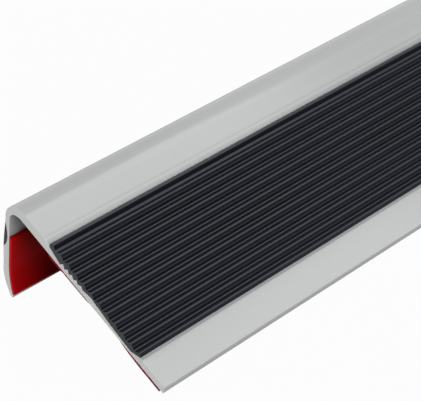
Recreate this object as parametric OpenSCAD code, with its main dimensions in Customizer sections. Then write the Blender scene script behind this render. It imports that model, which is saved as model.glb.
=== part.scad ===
// Stair nosing: an L-shaped profile that caps the edge of a step.
// A rigid carrier holds a ribbed grip insert on its tread leg and a narrow
// grip strip on its riser leg. Adhesive tapes with a red release film line
// the two inner faces.
// The section is drawn in mm from the arris of the step: x runs from the
// riser's inner face to the back of the tread, y runs up from its underside.
// The stock is laid on the riser's lip and the back of the tread leg.

/* [Stock] */
// Length the stock is cut to
length = 1000; // [200:10:3000]

/* [Tread leg] */
// Flat land from the riser's inner face to the ribbed insert
front_land = 13.15; // [10:0.05:30]
// Thickness of the tread leg in front of the insert
tread_t = 2.9; // [2.6:0.05:4.5]
// Thickness of the tread leg at the back of the insert
shoulder_t = 2.65; // [2.4:0.05:4]
// Run of the slope from the insert down to the back band
shoulder_run = 0.45; // [0.3:0.05:3]
// Thickness of the back band at the foot of that slope
band_t = 2.15; // [1.6:0.05:2.3]
// Thickness of the back band at the back edge
edge_t = 1.85; // [1.2:0.05:2.3]
// Width of the tread leg behind the insert
back_band = 6.9; // [4:0.1:20]

/* [Nose and riser leg] */
// Radius of the rounded nose
nose_r = 7.5; // [5:0.1:9]
// Radius of the fillet inside the nose
arris_r = 4.5; // [0.5:0.1:6]
// Drop of the riser leg below the tread's underside
riser_drop = 30.6; // [28:0.1:60]
// Wall of the riser leg just below the nose
root_wall = 1.4; // [1.2:0.05:3]
// Wall of the riser leg where its lip starts
riser_wall = 1.95; // [1.6:0.05:3]
// Reach of the lip past the riser's inner face
lip_reach = 1.7; // [1.2:0.1:4]
// Bulge of the riser leg's outer face half-way down
wall_bulge = 0.3; // [0:0.02:0.5]
// Radius of the lip's rounded tip
tip_r = 0.6; // [0.3:0.05:0.8]
// Slope of the lip at its tip, in degrees from the riser
lip_slope = 28; // [10:1:45]
// Height over which the inner face of the lip curls in
lip_inner_h = 9.5; // [5:0.1:12]
// Height over which the outer face of the lip curls in
lip_outer_h = 7; // [4:0.1:10]

/* [Ribbed insert] */
// Number of ribs
rib_count = 11; // [9:1:24]
// Distance from rib to rib
rib_pitch = 2.41; // [2.2:0.01:4]
// Height of a rib's crest above the groove in front of it
rib_h = 0.85; // [0.3:0.05:1.1]
// Width of the flat on a rib's crest
crest_w = 0.36; // [0.1:0.02:0.6]
// Width of the flat in a groove
groove_w = 0.28; // [0.1:0.02:0.6]
// Distance from the middle of a groove to the middle of the crest behind it
rib_lead = 1.28; // [0.8:0.01:1.5]
// Share of a rib's back slope above the ledge on it
ledge_place = 0.47; // [0.3:0.01:0.7]
// Share of the run of that slope taken by the ledge
ledge_share = 0.17; // [0.04:0.01:0.4]
// Height of the first crest above the tread
front_rise = 1.3; // [1:0.05:3]
// Height of the last crest above the shoulder behind it
back_rise = 0.38; // [0.2:0.02:1.5]
// Sag of the line of crests between the first and the last
crest_sag = 0.17; // [0:0.01:0.4]
// Distance from the insert's front edge to the middle of the first groove
groove_first = 2.1; // [1.8:0.05:4]
// Distance from the middle of the last crest to the insert's back edge
rib_last = 0.62; // [0.5:0.02:4]
// Height of the insert's front edge above the tread
rim_edge = 0.6; // [0.2:0.05:0.8]
// Run of the slope from that edge up to the front crest
rim_run = 0.6; // [0.2:0.05:0.7]
// Width of the flat on the front crest
rim_w = 0.55; // [0.1:0.05:0.6]
// Run of the drop from the front crest into the first groove
rim_fall = 0.5; // [0.1:0.05:0.5]
// Height of the front crest above the tread
rim_h = 1.3; // [0.9:0.05:2]

/* [Insert seat] */
// Depth of the seat's upright wall at the insert's front edge
wall_depth = 0.45; // [0.2:0.05:0.8]
// Run of the ramp from that wall to the first key
ramp_run = 3.45; // [2:0.05:5]
// Depth of the seat at the foot of the ramp
ramp_depth = 1.9; // [1.3:0.05:2.1]
// Depth of the seat behind the last key
key_depth = 1.4; // [1.1:0.05:1.9]
// Depth of the tops of the saw-tooth keys
key_top_depth = 0.7; // [0.5:0.05:1]
// Distance from key to key
key_pitch = 1.42; // [0.8:0.02:1.6]
// Share of a key's pitch taken by its rising side
key_rise = 0.65; // [0.2:0.05:0.8]
// Number of keys
key_count = 5; // [2:1:5]
// Run of the shelf behind the keys
shelf_run = 2.6; // [1:0.1:3]
// Depth of the seat at the back of the shelf
shelf_depth = 0.7; // [0.5:0.05:1]
// Run of the slope from the shelf to the seat's floor
fall_run = 6.6; // [3:0.1:7.4]
// Depth of the seat at the foot of that slope
fall_depth = 1.8; // [1.2:0.05:2]
// Thickness of the tread leg left under the back of the seat's floor
floor_t = 0.75; // [0.6:0.05:1]
// Run of the seat's slope up to its back wall
climb_run = 2.7; // [1.5:0.1:3.5]
// Height of the seat's back wall
back_wall = 0.35; // [0.1:0.05:0.6]

/* [Riser strip] */
// Drop of the strip's top edge below the tread's underside
strip_drop = 6.9; // [6.5:0.1:9]
// Height of the strip
strip_h = 8.7; // [4:0.1:10]
// Depth of the strip at its middle
strip_depth = 1.1; // [0.4:0.05:1.15]

/* [Adhesive tapes] */
// Thickness of the tapes with their release film
tape_t = 0.8; // [0.3:0.05:1.2]
// Distance from the riser's inner face to the tread tape
tread_tape_front = 13.05; // [7:0.05:20]
// Bare margin from the tread tape to the back edge
tread_tape_margin = 1; // [0.5:0.1:4]
// Drop of the riser tape's top edge below the tread's underside
riser_tape_drop = 10; // [7:0.1:14]
// Bare margin from the riser tape to the start of the lip's tip
riser_tape_margin = 0.5; // [0.4:0.1:3]

/* [Hidden] */
arc_steps = 16;
wall_steps = 6;
grey = [0.76, 0.765, 0.76];
black = [0.1, 0.1, 0.11];
red = [0.62, 0.05, 0.07];

// Points on a circle from angle a to angle b
function arc(centre, r, a, b) =
    [for (i = [0 : arc_steps])
        let (t = a + (b - a) * i / arc_steps)
        centre + r * [cos(t), sin(t)]];

// Points on the arc from p to q that stands sag to the left of the straight way
function bow(p, q, sag) =
    let (
        chord = norm(q - p),
        along = (q - p) / chord,
        left = [-along.y, along.x],
        half = 2 * atan(2 * sag / chord),
        r = chord / 2 / sin(half)
    )
    [for (i = [0 : arc_steps])
        let (t = half * (2 * i / arc_steps - 1))
        (p + q) / 2 + along * r * sin(t) + left * r * (cos(t) - cos(half))];

function reversed(points) = [for (i = [len(points) - 1 : -1 : 0]) points[i]];

// Tread leg, from front to back
crest_span = (rib_count - 1) * rib_pitch;
insert_w = groove_first + rib_lead + crest_span + rib_last;
insert_front = front_land;
insert_back = insert_front + insert_w;
depth = insert_back + back_band;

// Nose and riser leg, from the top down to the lip's tip
nose_centre = [nose_r - root_wall, tread_t - nose_r];
tip_centre = [lip_reach - tip_r * cos(lip_slope), tip_r - riser_drop];
tip_inner = tip_centre + tip_r * [cos(lip_slope), sin(lip_slope)];
tip_outer = tip_centre - tip_r * [cos(lip_slope), sin(lip_slope)];
lip_inner_top = [0, tip_inner.y + lip_inner_h];
lip_outer_top = [-riser_wall, tip_outer.y + lip_outer_h];
wall_top = [-root_wall, nose_centre.y];

// A face of the lip leaves the wall without a kink and turns in to the tip
function lip_turn(top, tip) = 2 * atan((tip.x - top.x) / (top.y - tip.y));
function lip_radius(top, tip) = (top.y - tip.y) / sin(lip_turn(top, tip));
inner_turn = lip_turn(lip_inner_top, tip_inner);
inner_r = lip_radius(lip_inner_top, tip_inner);
inner_centre = lip_inner_top + [inner_r, 0];
outer_turn = lip_turn(lip_outer_top, tip_outer);
outer_r = lip_radius(lip_outer_top, tip_outer);
outer_centre = lip_outer_top + [outer_r, 0];

// A point on the bulged outer face of the riser leg at height y
function wall_point(y) =
    let (t = (y - wall_top.y) / (lip_outer_top.y - wall_top.y))
    wall_top + (lip_outer_top - wall_top) * t - [wall_bulge * (1 - cos(360 * t)) / 2, 0];

// Points on that face between the heights a and b
function wall_run(a, b) =
    [for (i = [1 : wall_steps - 1]) wall_point(a + (b - a) * i / wall_steps)];

// Turn of the lip's inner face down to the bottom edge of the riser tape
tape_turn = asin((lip_inner_top.y - tip_inner.y - riser_tape_margin) / inner_r);

// Rebate for the riser strip, from its bottom edge to its top edge
strip_top = -strip_drop;
strip_bottom = -strip_drop - strip_h;
rebate = bow(wall_point(strip_bottom), wall_point(strip_top), -strip_depth);

// Seat of the ribbed insert, from its front edge to its back edge
key_start = insert_front + ramp_run;
keys_end = key_start + key_count * key_pitch;
function foot_y(i) = tread_t - ramp_depth + (ramp_depth - key_depth) * i / key_count;
keys = [for (i = [0 : key_count - 1])
    each [
        [key_start + i * key_pitch, foot_y(i)],
        [key_start + (i + key_rise) * key_pitch, tread_t - key_top_depth]
    ]];
seat = concat(
    [[insert_front, tread_t], [insert_front, tread_t - wall_depth]],
    keys,
    [
        [keys_end, foot_y(key_count)],
        [keys_end + shelf_run, tread_t - shelf_depth],
        [keys_end + shelf_run + fall_run, tread_t - fall_depth],
        [insert_back - climb_run, floor_t],
        [insert_back, shoulder_t - back_wall],
        [insert_back, shoulder_t]
    ]
);

// Height of the crests, on a line that sags from the first to the last
first_crest = insert_front + groove_first + rib_lead;
function crest_y(x) =
    let (t = (x - first_crest) / crest_span)
    (tread_t + front_rise) * (1 - t) + (shoulder_t + back_rise) * t - 4 * crest_sag * t * (1 - t);

// A rib with its crest at x, from the back of the groove in front of it
function rib(x) = [
    [x - rib_lead + groove_w / 2, crest_y(x) - rib_h],
    [x - crest_w / 2, crest_y(x)],
    [x + crest_w / 2, crest_y(x)]
];

// The slope behind that crest, from its ledge to the groove behind it
function back_slope(x) =
    let (
        top = [x + crest_w / 2, crest_y(x)],
        foot = [x + rib_pitch - rib_lead - groove_w / 2, crest_y(x + rib_pitch) - rib_h],
        middle = top + (foot - top) * ledge_place,
        half = [(foot.x - top.x) * ledge_share / 2, 0]
    )
    [middle - half, middle + half, foot];
rim_back = insert_front + rim_run + rim_w;
rib_line = concat(
    [
        [insert_front, tread_t + rim_edge],
        [insert_front + rim_run, tread_t + rim_h],
        [rim_back, tread_t + rim_h],
        [rim_back + rim_fall, crest_y(first_crest) - rib_h]
    ],
    [for (i = [0 : rib_count - 2])
        let (x = first_crest + i * rib_pitch)
        each concat(rib(x), back_slope(x))],
    rib(first_crest + crest_span)
);

carrier_outline = concat(
    arc(nose_centre, nose_r, 180, 90),
    seat,
    [
        [insert_back + shoulder_run, band_t],
        [depth, edge_t],
        [depth, 0]
    ],
    arc([arris_r, -arris_r], arris_r, 90, 180),
    arc(inner_centre, inner_r, 180, 180 + tape_turn),
    arc(inner_centre, inner_r, 180 + tape_turn, 180 + inner_turn),
    arc(tip_centre, tip_r, lip_slope, lip_slope - 180),
    arc(outer_centre, outer_r, 180 + outer_turn, 180),
    wall_run(lip_outer_top.y, strip_bottom),
    rebate,
    wall_run(strip_top, wall_top.y)
);

// Tapes, each face to face with the leg behind it
tread_tape_back = depth - tread_tape_margin;
riser_tape_outline = concat(
    [[tape_t, -riser_tape_drop], [0, -riser_tape_drop]],
    arc(inner_centre, inner_r, 180, 180 + tape_turn),
    arc(inner_centre, inner_r - tape_t, 180 + tape_turn, 180)
);

// Lay the stock on its lip and on whichever back edge stands lower
function lean(p) =
    atan2(p.y - tip_centre.y, p.x - tip_centre.x) + asin(tip_r / norm(p - tip_centre));
lean_angle = min(lean([depth, 0]), lean([tread_tape_back, -tape_t]));
function laid_x(p) = p.x * cos(lean_angle) + p.y * sin(lean_angle);
laid_xs = [for (p = carrier_outline) laid_x(p)];
middle_x = (min(laid_xs) + max(laid_xs)) / 2;
rest_y = tip_r + tip_centre.x * sin(lean_angle) - tip_centre.y * cos(lean_angle);

// Extrude a section along the stock and lay it down
module stock() {
    translate([-middle_x, 0, rest_y])
        rotate([0, lean_angle, 0])
            rotate([90, 0, 0])
                linear_extrude(length, center = true)
                    children();
}

// Rigid grey profile
module carrier() {
    color(grey)
        stock()
            polygon(carrier_outline);
}

// Ribbed black grip seated in the tread leg
module tread_insert() {
    color(black)
        stock()
            polygon(concat(rib_line, reversed(seat)));
}

// Narrow black grip let into the riser leg
module riser_strip() {
    color(black)
        stock()
            polygon(concat(rebate, wall_run(strip_top, strip_bottom)));
}

// Adhesive tape under the tread leg
module tread_tape() {
    color(red)
        stock()
            polygon([
                [tread_tape_front, 0],
                [tread_tape_back, 0],
                [tread_tape_back, -tape_t],
                [tread_tape_front, -tape_t]
            ]);
}

// Adhesive tape on the inner face of the riser leg, following its lip
module riser_tape() {
    color(red)
        stock()
            polygon(riser_tape_outline);
}

carrier();
tread_insert();
riser_strip();
tread_tape();
riser_tape();
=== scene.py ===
from math import copysign, radians

import bmesh
import bpy
from mathutils import Matrix, Quaternion, Vector


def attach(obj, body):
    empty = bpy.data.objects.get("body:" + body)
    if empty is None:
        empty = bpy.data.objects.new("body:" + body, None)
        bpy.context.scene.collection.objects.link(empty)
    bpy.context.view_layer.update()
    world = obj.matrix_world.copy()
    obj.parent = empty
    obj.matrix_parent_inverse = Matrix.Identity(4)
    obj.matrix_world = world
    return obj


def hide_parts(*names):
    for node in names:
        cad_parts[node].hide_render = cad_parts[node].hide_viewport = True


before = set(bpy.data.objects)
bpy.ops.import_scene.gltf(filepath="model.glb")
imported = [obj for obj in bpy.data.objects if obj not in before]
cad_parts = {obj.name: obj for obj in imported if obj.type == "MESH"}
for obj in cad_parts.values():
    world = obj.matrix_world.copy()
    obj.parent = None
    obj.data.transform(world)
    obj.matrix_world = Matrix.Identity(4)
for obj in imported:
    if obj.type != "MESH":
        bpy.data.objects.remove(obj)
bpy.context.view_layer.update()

# The section is worked in mm: x back from the riser's inner face, z up from
# the tread's underside and y along the stock. The stock lies on the floor,
# turned by its lean about the arris of the step that it would cover.
MM = 0.001
LEAN = radians(33.0492)
ARRIS = Vector((-0.0126486, 0.0, 0.0263843))
TO_ROW = (Matrix.Translation(ARRIS) @ Matrix.Rotation(LEAN, 4, "Y")
          @ Matrix.Scale(MM, 4))
TO_SECTION = TO_ROW.inverted()

# Places on the section, in mm
HALF_LENGTH = 500.0
TREAD_TOP = 2.9
INSERT_FRONT = 13.15
SHOULDER_TOP = 41.25
SHOULDER_FOOT = 41.7

SCENE = bpy.context.scene


# Camera, at the photograph's angle
EYE = Vector((0.194115, -0.579743, 0.126673))
AIM = Vector((0.006846, -0.468402, 0.017161))
CAMERA_ROLL = radians(14.5705)
LENS = 108.38
SENSOR_WIDTH = 36.0
NEAREST_SEEN = 0.01

camera_data = bpy.data.cameras.new("camera")
camera_data.sensor_width = SENSOR_WIDTH
camera_data.lens = LENS
camera_data.clip_start = NEAREST_SEEN
camera = bpy.data.objects.new("camera", camera_data)
SCENE.collection.objects.link(camera)
sight = (AIM - EYE).normalized()
camera.location = EYE
camera.rotation_mode = "QUATERNION"
camera.rotation_quaternion = (Quaternion(sight, CAMERA_ROLL)
                              @ sight.to_track_quat("-Z", "Y"))
SCENE.camera = camera
SCENE.view_settings.view_transform = "Standard"


# A Mix node's colour sockets, by number because their names repeat
MIX_FACTOR, MIX_BASE, MIX_OTHER, MIX_RESULT = 0, 6, 7, 2


class Wire:
    """A socket in a node tree. An expression on wires adds Math nodes."""

    def __init__(self, tree, socket=None):
        self.tree = tree
        self.socket = socket

    def node(self, kind, settings=None, inputs=None, out=0):
        """Adds a node, sets it, feeds its sockets and gives one output."""
        made = self.tree.nodes.new(kind)
        for name, value in (settings or {}).items():
            setattr(made, name, value)
        for name, value in (inputs or {}).items():
            if isinstance(value, Wire):
                self.tree.links.new(value.socket, made.inputs[name])
            else:
                made.inputs[name].default_value = value
        return Wire(self.tree, made.outputs[out] if len(made.outputs) else None)

    def math(self, operation, *values):
        return self.node("ShaderNodeMath", {"operation": operation},
                         dict(enumerate(values)))

    def __add__(self, other):
        return self.math("ADD", self, other)

    def __sub__(self, other):
        return self.math("SUBTRACT", self, other)

    def __rsub__(self, other):
        return self.math("SUBTRACT", other, self)

    def __mul__(self, other):
        return self.math("MULTIPLY", self, other)

    def __abs__(self):
        return self.math("ABSOLUTE", self)

    __radd__ = __add__
    __rmul__ = __mul__

    def larger(self, other):
        return self.math("MAXIMUM", self, other)

    def fade(self, low, high):
        """0 up to low and 1 from high on, with a soft start and end."""
        return self.node("ShaderNodeMapRange", {"interpolation_type": "SMOOTHSTEP"},
                         {"Value": self, "From Min": low, "From Max": high})

    def tint(self, base, other):
        """The base colour where this wire is 0, and the other where it is 1."""
        return self.node("ShaderNodeMix", {"data_type": "RGBA"},
                         {MIX_FACTOR: self, MIX_BASE: base, MIX_OTHER: other},
                         MIX_RESULT)

    def grain(self, scale, detail, stretch):
        """Noise from 0 to 1 on this place wire, stretched along its axes."""
        place = self.node("ShaderNodeVectorMath", {"operation": "MULTIPLY"},
                          {0: self, 1: stretch})
        return self.node("ShaderNodeTexNoise", None,
                         {"Vector": place, "Scale": scale, "Detail": detail})


# The curve of display colours: a straight foot, then a power
FULL_LEVEL = 255
FOOT_LEVEL, FOOT_SLOPE = 10.3, 12.92
CURVE_LIFT, CURVE_POWER = 0.055, 2.4


def linear(level):
    share = level / FULL_LEVEL
    if level <= FOOT_LEVEL:
        return share / FOOT_SLOPE
    return ((share + CURVE_LIFT) / (1 + CURVE_LIFT)) ** CURVE_POWER


def colour(red, green, blue):
    """A display colour, from 0 to 255, as the linear colour that nodes take."""
    return (linear(red), linear(green), linear(blue), 1.0)


def new_finish(name):
    """An empty material, and a wire to start its nodes from."""
    finish = bpy.data.materials.new(name)
    finish.use_nodes = True
    finish.node_tree.nodes.clear()
    return finish, Wire(finish.node_tree)


def section_place(start):
    """Object coordinates in the section's mm, and their x, y and z."""
    place = start.node("ShaderNodeTexCoord", None, None, "Object")
    place = start.node("ShaderNodeMapping", {"vector_type": "POINT"},
                       {"Vector": place, "Location": TO_SECTION.to_translation(),
                        "Rotation": TO_SECTION.to_euler(), "Scale": (1 / MM,) * 3})
    parts = start.node("ShaderNodeSeparateXYZ", None, {0: place}).socket.node.outputs
    return (place, *(Wire(start.tree, parts[axis]) for axis in "XYZ"))


def surface(start, shader):
    """Makes a shader the surface of its material."""
    start.node("ShaderNodeOutputMaterial", None, {"Surface": shader})


# How far in from the ends the saw's cut reaches, in mm
SAW_DEPTH = 0.06


def sawn_end(y, depth=SAW_DEPTH):
    """1 on the two cut ends of the stock and 0 along it."""
    return abs(y).fade(HALF_LENGTH - depth, HALF_LENGTH - depth / 3)


# Grains are given as scale per mm, detail, and stretch along x, y and z. Most
# of a grain's values lie in its middle range.
MIDDLE = (0.3, 0.7)

# Grey PVC
PVC_CLOUD = (0.05, 2.0, (1.0, 0.3, 1.0))
PVC_LINES = (1.6, 3.0, (1.0, 0.004, 1.0))
PVC_SAW_MARKS = (1.6, 3.0, (1.0, 1.0, 0.5))
PVC_FINE = (9.0, 2.0, (1.0, 0.15, 1.0))
PVC_DARKER, PVC_LIGHTER = colour(179, 181, 180), colour(185, 187, 186)
CLOUD_SHARE, LINES_SHARE = 0.5, 0.5
TOP_SKIN = (TREAD_TOP - 0.1, TREAD_TOP - 0.05)
# Die lines, as how far they lie in front of the insert and how strong they are
DIE_LINES = ((1.15, 0.25), (2.05, 0.5))
DIE_LINE_EDGE = (0.05, 0.45)
DIE_LINE_GREY = colour(160, 162, 162)
# Painted light on a paler line beside the insert, painted shade on the shoulder
# where the insert ends, and painted light on the back band
PAINTED_LIGHT_BESIDE_INSERT = (INSERT_FRONT - 1.0, INSERT_FRONT - 0.7)
PAINTED_LIGHT_BESIDE_INSERT_GREY, PAINTED_LIGHT_BESIDE_INSERT_TONE = colour(212, 213, 213), 0.75
JOINT_START = (SHOULDER_TOP - 0.1, SHOULDER_TOP)
JOINT_END = (SHOULDER_FOOT - 0.1, SHOULDER_FOOT + 0.1)
PAINTED_SHADE_JOINT_GREY, PAINTED_SHADE_JOINT_TONE = colour(150, 151, 154), 0.85
BAND_PAINTED_LIGHT_GREY, BAND_PAINTED_LIGHT_TONE = colour(198, 200, 199), 0.28
SAWN_GREY, SAWN_TONE, SAW_MARK_TONE = colour(196, 197, 195), 0.3, 0.4
PVC_ROUGHNESS, LINES_ROUGHNESS, SAWN_ROUGHNESS = 0.14, 0.05, 0.3
LINES_RELIEF, FINE_RELIEF = 0.7, 0.3


def grey_pvc():
    """Satin rigid PVC, with lines along the stock and sawn ends, painted light
    beside the insert and on the back band, and painted shade on the shoulder behind
    the insert.
    """
    finish, start = new_finish("grey_pvc")
    place, x, y, z = section_place(start)
    cloud = place.grain(*PVC_CLOUD)
    lines = place.grain(*PVC_LINES)
    sawn = sawn_end(y)
    on_top = z.fade(*TOP_SKIN)
    drawn = 0.0
    for before_insert, strength in DIE_LINES:
        off_line = abs(x - (INSERT_FRONT - before_insert))
        drawn = drawn + (1 - off_line.fade(*DIE_LINE_EDGE)) * on_top * strength
    # Painted light: the top just in front of the insert is made paler where the
    # insert's front rim shades it
    painted_light_beside_insert = x.fade(*PAINTED_LIGHT_BESIDE_INSERT) * on_top
    past_joint = x.fade(*JOINT_END)
    # Painted shade: the shoulder slope between the insert and the back band is
    # darkened
    joint_shade = x.fade(*JOINT_START) * (1 - past_joint)
    saw_marks = place.grain(*PVC_SAW_MARKS).fade(*MIDDLE)
    shade = cloud.fade(*MIDDLE) * CLOUD_SHARE + lines.fade(*MIDDLE) * LINES_SHARE
    base = shade.tint(PVC_DARKER, PVC_LIGHTER)
    base = drawn.tint(base, DIE_LINE_GREY)
    # Painted light beside the insert
    base = (painted_light_beside_insert * PAINTED_LIGHT_BESIDE_INSERT_TONE).tint(base, PAINTED_LIGHT_BESIDE_INSERT_GREY)
    # Painted light: the back band and everything past the shoulder are made lighter
    base = (past_joint * BAND_PAINTED_LIGHT_TONE).tint(base, BAND_PAINTED_LIGHT_GREY)
    # Painted shade on the shoulder
    base = (joint_shade * PAINTED_SHADE_JOINT_TONE).tint(base, PAINTED_SHADE_JOINT_GREY)
    base = (sawn * (SAWN_TONE + saw_marks * SAW_MARK_TONE)).tint(base, SAWN_GREY)
    fine = place.grain(*PVC_FINE)
    relief = start.node("ShaderNodeBump", None,
                        {"Strength": 0.2, "Distance": 0.00003,
                         "Height": lines * LINES_RELIEF + fine * FINE_RELIEF})
    roughness = PVC_ROUGHNESS + lines * LINES_ROUGHNESS + sawn * SAWN_ROUGHNESS
    shader = start.node("ShaderNodeBsdfPrincipled", None,
                        {"Base Color": base, "Roughness": roughness,
                         "Specular IOR Level": 0.4, "Normal": relief})
    surface(start, shader)
    return finish


# Black grip
GRIP_CLOUD = (0.12, 3.0, (1.0, 0.2, 1.0))
GRIP_FINE = (7.0, 3.0, (1.0, 0.3, 1.0))
GRIP_DARKER, GRIP_LIGHTER = colour(12, 13, 19), colour(16, 17, 24)
CUT_GRIP_GREY, CUT_GRIP_TONE = colour(53, 53, 55), 0.9
GRIP_ROUGHNESS, GRIP_CLOUD_ROUGHNESS = 0.32, 0.1


def black_grip():
    """Soft black PVC, smooth along the stock and greyer where it is cut."""
    finish, start = new_finish("black_grip")
    place, _, y, _ = section_place(start)
    cloud = place.grain(*GRIP_CLOUD)
    sawn = sawn_end(y)
    base = cloud.fade(*MIDDLE).tint(GRIP_DARKER, GRIP_LIGHTER)
    base = (sawn * CUT_GRIP_TONE).tint(base, CUT_GRIP_GREY)
    fine = place.grain(*GRIP_FINE)
    relief = start.node("ShaderNodeBump", None,
                        {"Strength": 0.25, "Distance": 0.00003, "Height": fine})
    roughness = (GRIP_ROUGHNESS + cloud * GRIP_CLOUD_ROUGHNESS
                 + sawn * SAWN_ROUGHNESS)
    shader = start.node("ShaderNodeBsdfPrincipled", None,
                        {"Base Color": base, "Roughness": roughness,
                         "Specular IOR Level": 0.34,
                         "Specular Tint": (0.87, 0.9, 1.0, 1.0), "Normal": relief})
    surface(start, shader)
    return finish


# Red film
FILM_CLOUD = (0.08, 2.0, (1.0, 0.4, 1.0))
FILM_PULL = (0.5, 2.0, (1.0, 0.05, 1.0))
FILM_DARKER, FILM_LIGHTER = colour(165, 5, 9), colour(179, 7, 12)
# Heights between which the riser's film gives way to the tread's
TREAD_FILM = (-3.0, -2.0)
# The tread film's cut edge, darkened as painted shade, and the paler edge of the
# riser's film, which is painted light
CUT_FILM_SHADE_DEPTH, CUT_FILM_PAINTED_SHADE_RED = 0.5, colour(112, 8, 26)
FILM_EDGE_PAINTED_LIGHT = (HALF_LENGTH - 0.9, HALF_LENGTH - 0.1)
FILM_EDGE_PAINTED_LIGHT_RED, FILM_EDGE_PAINTED_LIGHT_TONE = colour(200, 13, 24), 0.7
FILM_ROUGHNESS, FILM_CLOUD_ROUGHNESS = 0.4, 0.1


def red_film():
    """Smooth release film on the adhesive, with cut ends, painted shade on the tread
    film's cut ends and painted light on the riser film's edge.
    """
    finish, start = new_finish("red_film")
    place, _, y, z = section_place(start)
    cloud = place.grain(*FILM_CLOUD)
    base = cloud.fade(*MIDDLE).tint(FILM_DARKER, FILM_LIGHTER)
    under_tread = z.fade(*TREAD_FILM)
    # Painted shade: the tread film is darkened at its cut ends
    base = (sawn_end(y, CUT_FILM_SHADE_DEPTH) * under_tread).tint(base, CUT_FILM_PAINTED_SHADE_RED)
    # Painted light: the riser's film is made paler close to the cut ends
    edge = abs(y).fade(*FILM_EDGE_PAINTED_LIGHT) * (1 - sawn_end(y)) * (1 - under_tread)
    base = (edge * FILM_EDGE_PAINTED_LIGHT_TONE).tint(base, FILM_EDGE_PAINTED_LIGHT_RED)
    pull = place.grain(*FILM_PULL)
    relief = start.node("ShaderNodeBump", None,
                        {"Strength": 0.2, "Distance": 0.0001, "Height": pull})
    roughness = FILM_ROUGHNESS + cloud * FILM_CLOUD_ROUGHNESS
    shader = start.node("ShaderNodeBsdfPrincipled", None,
                        {"Base Color": base, "Roughness": roughness,
                         "Specular IOR Level": 0.03, "Normal": relief})
    surface(start, shader)
    return finish


# Limits for the meshes: doubles in m, the tape's cuts in mm
DOUBLES = 1e-6
CUT_SNAP = 1e-4
FLAT_ANGLE = radians(0.5)
SHARP_ANGLE = radians(14)
CREASE_ANGLE = radians(40)


def copy_of(node):
    """A merged copy of a CAD node's mesh, turned to the section in mm."""
    bm = bmesh.new()
    bm.from_mesh(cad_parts[node].data)
    bmesh.ops.remove_doubles(bm, verts=bm.verts, dist=DOUBLES)
    bmesh.ops.transform(bm, matrix=TO_SECTION, verts=bm.verts)
    bmesh.ops.dissolve_limit(bm, angle_limit=FLAT_ANGLE, verts=bm.verts,
                             edges=bm.edges)
    return bm


def runs_along(edge):
    return abs(edge.verts[0].co.y - edge.verts[1].co.y) > HALF_LENGTH


def lies_across(edge):
    return not runs_along(edge)


def soften(bm, radius, segments, chosen):
    """Rounds the chosen sharp edges."""
    edges = [e for e in bm.edges if len(e.link_faces) == 2
             and e.calc_face_angle() > SHARP_ANGLE and chosen(e)]
    bmesh.ops.bevel(bm, geom=edges, offset=radius, offset_type="OFFSET",
                    segments=segments, profile=0.5, affect="EDGES", material=-1,
                    clamp_overlap=True)


# How far the tread tape's ends lie back from the sawn ends, as (x, set back)
TAPE_TRIM = ((16.8, 0.0), (17.5, 0.12), (24.5, 0.18), (27.5, 0.5), (33.8, 0.5),
             (35.8, 0.22), (38.0, 0.08), (41.0, 0.0))


def trim_ends(bm):
    """Cuts the tape's ends a little unevenly, as a knife leaves them."""
    for x, back in TAPE_TRIM:
        cut = bmesh.ops.bisect_plane(
            bm, geom=bm.verts[:] + bm.edges[:] + bm.faces[:], dist=CUT_SNAP,
            plane_co=(x, 0, 0), plane_no=(1, 0, 0))["geom_cut"]
        for corner in cut:
            if isinstance(corner, bmesh.types.BMVert):
                corner.co.y = copysign(HALF_LENGTH - back, corner.co.y)


def put_in_place(bm, name, node, finish):
    """Lays a piece down in the row frame in place of its CAD node."""
    bmesh.ops.transform(bm, matrix=TO_ROW, verts=bm.verts)
    mesh = bpy.data.meshes.new(name)
    bm.to_mesh(mesh)
    bm.free()
    mesh.shade_smooth()
    mesh.set_sharp_from_angle(angle=CREASE_ANGLE)
    mesh.materials.clear()
    mesh.materials.append(finish)
    piece = bpy.data.objects.new(name, mesh)
    SCENE.collection.objects.link(piece)
    even = piece.modifiers.new("even_faces", "WEIGHTED_NORMAL")
    even.keep_sharp = True
    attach(piece, "root")
    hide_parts(node)


FINISHES = {"grey_pvc": grey_pvc(), "black_grip": black_grip(),
            "red_film": red_film()}
# Pieces, as CAD node, slot, and the rounding of the edges that run along the
# stock and of those across it, each as radius in mm and segments
PIECES = (("carrier", "grey_pvc", (0.12, 3), (0.05, 2)),
          ("tread_insert", "black_grip", (0.05, 2), (0.05, 2)),
          ("riser_strip", "black_grip", None, (0.05, 2)),
          ("tread_tape", "red_film", (0.1, 3), None),
          ("riser_tape", "red_film", (0.5, 5), (0.2, 3)))

for node, slot, along, across in PIECES:
    bm = copy_of(node)
    if node == "tread_tape":
        trim_ends(bm)
    if along:
        soften(bm, *along, runs_along)
    if across:
        soften(bm, *across, lies_across)
    put_in_place(bm, "profile_" + node, node, FINISHES[slot])


# Floor, world and lights
WHITE = (1.0, 1.0, 1.0, 1.0)
FLOOR_HALF_SIZE = 12.0
FLOOR_GREY = (0.3, 0.3, 0.3, 1.0)
FLOOR_GLOW = 0.97
FLOOR_SHEEN = 0.3
SKY_SHEEN = 1.0
AMBIENT = 0.08
SOFTBOX_PLACE = Vector((0.15, 0.02, 1.08))
SOFTBOX_SIZE = (0.94, 0.52)
SOFTBOX_TURN = radians(20)
SOFTBOX_POWER = 4.3
# Fill lights, as name, side they shine from, strength and spread
FILLS = (("front_fill", Vector((-0.4, -0.7, 0.6)), 2.05, radians(30)),
         ("side_fill", Vector((0.9, -0.05, 0.1)), 2.5, radians(18)),
         ("end_fill", Vector((-0.3, -1.0, 0.08)), 1.25, radians(20)))


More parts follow.
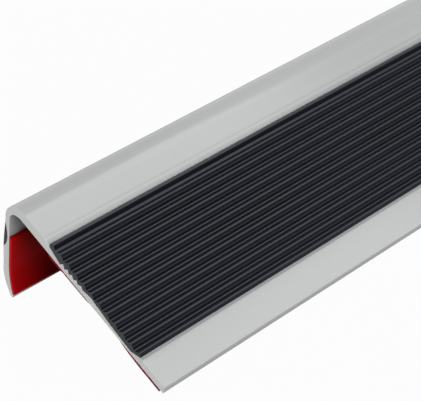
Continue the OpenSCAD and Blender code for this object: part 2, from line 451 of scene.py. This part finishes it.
def seen_directly(start, in_reflections):
    """1 for the camera's rays, and in gloss and glass as much as given."""
    rays = start.node("ShaderNodeLightPath").socket.node.outputs
    camera_ray, glossy_ray, clear_ray = (
        Wire(start.tree, rays[name])
        for name in ("Is Camera Ray", "Is Glossy Ray", "Is Transmission Ray"))
    return camera_ray.larger(glossy_ray.larger(clear_ray) * in_reflections)


finish, start = new_finish("studio_floor")
paper = start.node("ShaderNodeBsdfDiffuse", None, {"Color": FLOOR_GREY})
glow = start.node("ShaderNodeEmission", None, {"Color": WHITE, "Strength": 1.0})
glowing = seen_directly(start, FLOOR_SHEEN) * FLOOR_GLOW
surface(start, start.node("ShaderNodeMixShader", None,
                          {0: glowing, 1: paper, 2: glow}))
floor_mesh = bpy.data.meshes.new("studio_floor")
bm = bmesh.new()
bmesh.ops.create_grid(bm, x_segments=1, y_segments=1, size=FLOOR_HALF_SIZE)
bm.to_mesh(floor_mesh)
bm.free()
floor_mesh.materials.append(finish)
floor = bpy.data.objects.new("studio_floor", floor_mesh)
SCENE.collection.objects.link(floor)

world = bpy.data.worlds.new("studio")
world.use_nodes = True
world.node_tree.nodes.clear()
start = Wire(world.node_tree)
brightness = AMBIENT + seen_directly(start, SKY_SHEEN) * (1.0 - AMBIENT)
sky = start.node("ShaderNodeBackground", None,
                 {"Color": WHITE, "Strength": brightness})
start.node("ShaderNodeOutputWorld", None, {"Surface": sky})
SCENE.world = world


def hang_lamp(name, kind, mirrored):
    """A lamp facing straight down, which glossy faces mirror or don't."""
    lamp = bpy.data.lights.new(name, kind)
    holder = bpy.data.objects.new(name, lamp)
    holder.visible_glossy = mirrored
    SCENE.collection.objects.link(holder)
    return holder, lamp


holder, softbox = hang_lamp("softbox", "AREA", True)
holder.location = SOFTBOX_PLACE
holder.rotation_euler.z = SOFTBOX_TURN
softbox.shape = "RECTANGLE"
softbox.size, softbox.size_y = SOFTBOX_SIZE
softbox.energy = SOFTBOX_POWER
for name, shines_from, strength, spread in FILLS:
    holder, fill = hang_lamp(name, "SUN", False)
    holder.rotation_mode = "QUATERNION"
    holder.rotation_quaternion = (-shines_from).to_track_quat("-Z", "Y")
    fill.energy = strength
    fill.angle = spread
